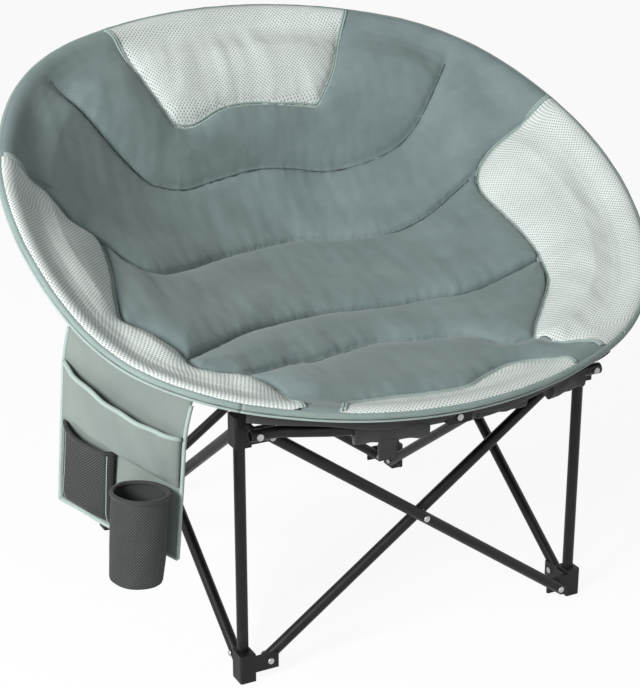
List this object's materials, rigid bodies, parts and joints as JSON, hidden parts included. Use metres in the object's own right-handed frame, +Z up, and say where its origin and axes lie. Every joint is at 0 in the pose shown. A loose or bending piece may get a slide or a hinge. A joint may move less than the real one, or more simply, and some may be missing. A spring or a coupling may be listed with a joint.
{
  "type": "folding camping chair",
  "caption": "Round padded folding camping chair on a crossed-tube scissor frame, with mesh sides and a hanging side organiser.",
  "frame": {"origin": "on the floor, under the middle of the bounding box", "axes": "+Z up, the sitter faces -Y, +X to the right as seen from the front"},
  "size_m": [1.1378, 0.894, 0.9707],
  "materials": {
    "seat_cloth": "padded polyester",
    "rim_binding": "woven binding",
    "spacer_mesh": "spacer mesh",
    "black_net": "open net",
    "organiser_cloth": "polyester",
    "black_cloth": "polyester",
    "rivet_steel": "black oxide",
    "black_tube": "powder coat",
    "black_plastic": "moulded"
  },
  "bodies": {
    "front_left_foot": {"front_left_foot": "black_plastic", "front_left_foot_rivets": "rivet_steel"},
    "front_right_foot": {"front_right_foot": "black_plastic", "front_right_foot_rivets": "rivet_steel"},
    "rear_left_foot": {"rear_left_foot": "black_plastic", "rear_left_foot_rivets": "rivet_steel", "rear_left_post": "black_tube", "rear_left_post_cap": "black_plastic"},
    "rear_right_foot": {"rear_right_foot": "black_plastic", "rear_right_foot_rivets": "rivet_steel", "rear_right_post": "black_tube", "rear_right_post_cap": "black_plastic"},
    "front_left_head": {"front_left_bracket": "black_plastic", "front_left_bracket_rivets": "rivet_steel", "front_left_post": "black_tube"},
    "front_right_head": {"front_right_bracket": "black_plastic", "front_right_bracket_rivets": "rivet_steel", "front_right_post": "black_tube"},
    "rear_left_head": {"rear_left_slider": "black_plastic", "rear_left_slider_rivets": "rivet_steel"},
    "rear_right_head": {"rear_right_slider": "black_plastic", "rear_right_slider_rivets": "rivet_steel"},
    "front_tube_rising_right": {"front_tube_to_right_head": "black_tube", "front_cross_rivet": "rivet_steel"},
    "front_tube_rising_left": {"front_tube_to_left_head": "black_tube"},
    "left_tube_rising_back": {"left_tube_to_rear_head": "black_tube", "left_cross_rivet": "rivet_steel"},
    "left_tube_rising_front": {"left_tube_to_front_head": "black_tube"},
    "right_tube_rising_back": {"right_tube_to_rear_head": "black_tube", "right_cross_rivet": "rivet_steel"},
    "right_tube_rising_front": {"right_tube_to_front_head": "black_tube"},
    "rear_tube_rising_right": {"rear_tube_to_right_head": "black_tube", "rear_cross_rivet": "rivet_steel"},
    "rear_tube_rising_left": {"rear_tube_to_left_head": "black_tube"},
    "left_bar": {"front_bar_left": "black_tube", "bar_sleeve_1": "black_cloth", "front_hinge_bracket": "black_plastic", "front_hinge_rivet": "rivet_steel"},
    "right_bar": {"front_bar_right": "black_tube", "bar_sleeve_2": "black_cloth", "bar_sleeve_3": "black_cloth"},
    "seat": {"seat_pad": "seat_cloth", "rim_hem_front": "rim_binding"},
    "back": {"back_pad": "seat_cloth", "rim_hem_back": "rim_binding", "rear_post_pockets": "black_cloth"},
    "left_side": {"left_wing": "spacer_mesh", "rim_hem_left": "rim_binding", "organiser_panel": "organiser_cloth", "organiser_upper_pocket": "organiser_cloth", "organiser_flat_pocket": "black_net", "organiser_bottle_pocket": "black_net"},
    "right_side": {"right_wing": "spacer_mesh", "rim_hem_right": "rim_binding"}
  },
  "joints": [
    {"name": "fold", "type": "hinge", "parent": "front_left_foot", "child": "front_tube_rising_right", "pos_m": [-0.28, -0.3042, 0.03], "axis": [0, -1, 0], "range_deg": [0, 46.9]},
    {"name": "front_cross", "type": "hinge", "parent": "front_tube_rising_right", "child": "front_tube_rising_left", "pos_m": [0, -0.315, 0.23], "axis": [0, -1, 0], "range_deg": [-93.8, 0]},
    {"name": "front_right_foot_pivot", "type": "hinge", "parent": "front_tube_rising_left", "child": "front_right_foot", "pos_m": [0.28, -0.3258, 0.03], "axis": [0, -1, 0], "range_deg": [0, 46.9]},
    {"name": "front_right_head_pivot", "type": "hinge", "parent": "front_tube_rising_right", "child": "front_right_head", "pos_m": [0.28, -0.3042, 0.43], "axis": [0, -1, 0], "range_deg": [-46.9, 0]},
    {"name": "front_left_head_pivot", "type": "hinge", "parent": "front_tube_rising_left", "child": "front_left_head", "pos_m": [-0.28, -0.3258, 0.43], "axis": [0, -1, 0], "range_deg": [0, 46.9]},
    {"name": "left_foot_pivot", "type": "hinge", "parent": "front_left_foot", "child": "left_tube_rising_back", "pos_m": [-0.3188, -0.265, 0.03], "axis": [1, 0, 0], "range_deg": [0, 46.9]},
    {"name": "left_cross", "type": "hinge", "parent": "left_tube_rising_back", "child": "left_tube_rising_front", "pos_m": [-0.308, 0.015, 0.23], "axis": [1, 0, 0], "range_deg": [-93.8, 0]},
    {"name": "rear_left_foot_pivot", "type": "hinge", "parent": "left_tube_rising_front", "child": "rear_left_foot", "pos_m": [-0.2972, 0.295, 0.03], "axis": [1, 0, 0], "range_deg": [0, 46.9]},
    {"name": "rear_left_head_pivot", "type": "hinge", "parent": "left_tube_rising_back", "child": "rear_left_head", "pos_m": [-0.3188, 0.295, 0.43], "axis": [1, 0, 0], "range_deg": [-46.9, 0]},
    {"name": "right_foot_pivot", "type": "hinge", "parent": "front_right_foot", "child": "right_tube_rising_back", "pos_m": [0.3188, -0.265, 0.03], "axis": [1, 0, 0], "range_deg": [0, 46.9]},
    {"name": "right_cross", "type": "hinge", "parent": "right_tube_rising_back", "child": "right_tube_rising_front", "pos_m": [0.308, 0.015, 0.23], "axis": [1, 0, 0], "range_deg": [-93.8, 0]},
    {"name": "rear_right_foot_pivot", "type": "hinge", "parent": "right_tube_rising_front", "child": "rear_right_foot", "pos_m": [0.2972, 0.295, 0.03], "axis": [1, 0, 0], "range_deg": [0, 46.9]},
    {"name": "rear_right_head_pivot", "type": "hinge", "parent": "right_tube_rising_back", "child": "rear_right_head", "pos_m": [0.3188, 0.295, 0.43], "axis": [1, 0, 0], "range_deg": [-46.9, 0]},
    {"name": "rear_foot_pivot", "type": "hinge", "parent": "rear_left_foot", "child": "rear_tube_rising_right", "pos_m": [-0.28, 0.3558, 0.03], "axis": [0, -1, 0], "range_deg": [0, 46.9]},
    {"name": "rear_cross", "type": "hinge", "parent": "rear_tube_rising_right", "child": "rear_tube_rising_left", "pos_m": [0, 0.345, 0.23], "axis": [0, -1, 0], "range_deg": [-93.8, 0]},
    {"name": "left_bar_pivot", "type": "hinge", "parent": "front_left_head", "child": "left_bar", "pos_m": [-0.312, -0.3478, 0.445], "axis": [0, -1, 0], "range_deg": [0, 75.66]},
    {"name": "right_bar_pivot", "type": "hinge", "parent": "front_right_head", "child": "right_bar", "pos_m": [0.312, -0.3478, 0.445], "axis": [0, 1, 0], "range_deg": [0, 75.66]},
    {"name": "seat_gather", "type": "slide", "parent": "front_left_foot", "child": "seat", "axis": [-0.8867, -0.0907, 0.4533], "range_m": [0, 0.2647], "deforming": ["seat_pad", "rim_hem_front"]},
    {"name": "back_gather", "type": "hinge", "parent": "seat", "child": "back", "pos_m": [0, -0.0994, 0.50388], "axis": [1, 0, 0], "range_deg": [0, 60.7], "deforming": ["back_pad", "rim_hem_back", "rear_post_pockets"]},
    {"name": "left_side_gather", "type": "slide", "parent": "seat", "child": "left_side", "axis": [0.9162, -0.3001, 0.2656], "range_m": [0, 0.37655], "deforming": ["left_wing", "rim_hem_left", "organiser_panel", "organiser_upper_pocket", "organiser_flat_pocket", "organiser_bottle_pocket"]},
    {"name": "right_side_gather", "type": "slide", "parent": "seat", "child": "right_side", "axis": [-0.9432, -0.1886, 0.2734], "range_m": [0, 0.36577], "deforming": ["right_wing", "rim_hem_right"]}
  ],
  "couplings": [
    {"joint": "front_cross", "follows": "fold", "ratio": -2},
    {"joint": "front_right_foot_pivot", "follows": "fold", "ratio": 1},
    {"joint": "front_right_head_pivot", "follows": "fold", "ratio": -1},
    {"joint": "front_left_head_pivot", "follows": "fold", "ratio": 1},
    {"joint": "left_foot_pivot", "follows": "fold", "ratio": 1},
    {"joint": "left_cross", "follows": "fold", "ratio": -2},
    {"joint": "rear_left_foot_pivot", "follows": "fold", "ratio": 1},
    {"joint": "rear_left_head_pivot", "follows": "fold", "ratio": -1},
    {"joint": "right_foot_pivot", "follows": "fold", "ratio": 1},
    {"joint": "right_cross", "follows": "fold", "ratio": -2},
    {"joint": "rear_right_foot_pivot", "follows": "fold", "ratio": 1},
    {"joint": "rear_right_head_pivot", "follows": "fold", "ratio": -1},
    {"joint": "rear_foot_pivot", "follows": "fold", "ratio": 1},
    {"joint": "rear_cross", "follows": "fold", "ratio": -2},
    {"joint": "left_bar_pivot", "follows": "fold", "ratio": 1.6132},
    {"joint": "right_bar_pivot", "follows": "fold", "ratio": 1.6132},
    {"joint": "seat_gather", "follows": "fold", "m_per_rad": 0.32338},
    {"joint": "back_gather", "follows": "fold", "ratio": 1.2942},
    {"joint": "left_side_gather", "follows": "fold", "m_per_rad": 0.46002},
    {"joint": "right_side_gather", "follows": "fold", "m_per_rad": 0.44684}
  ]
}
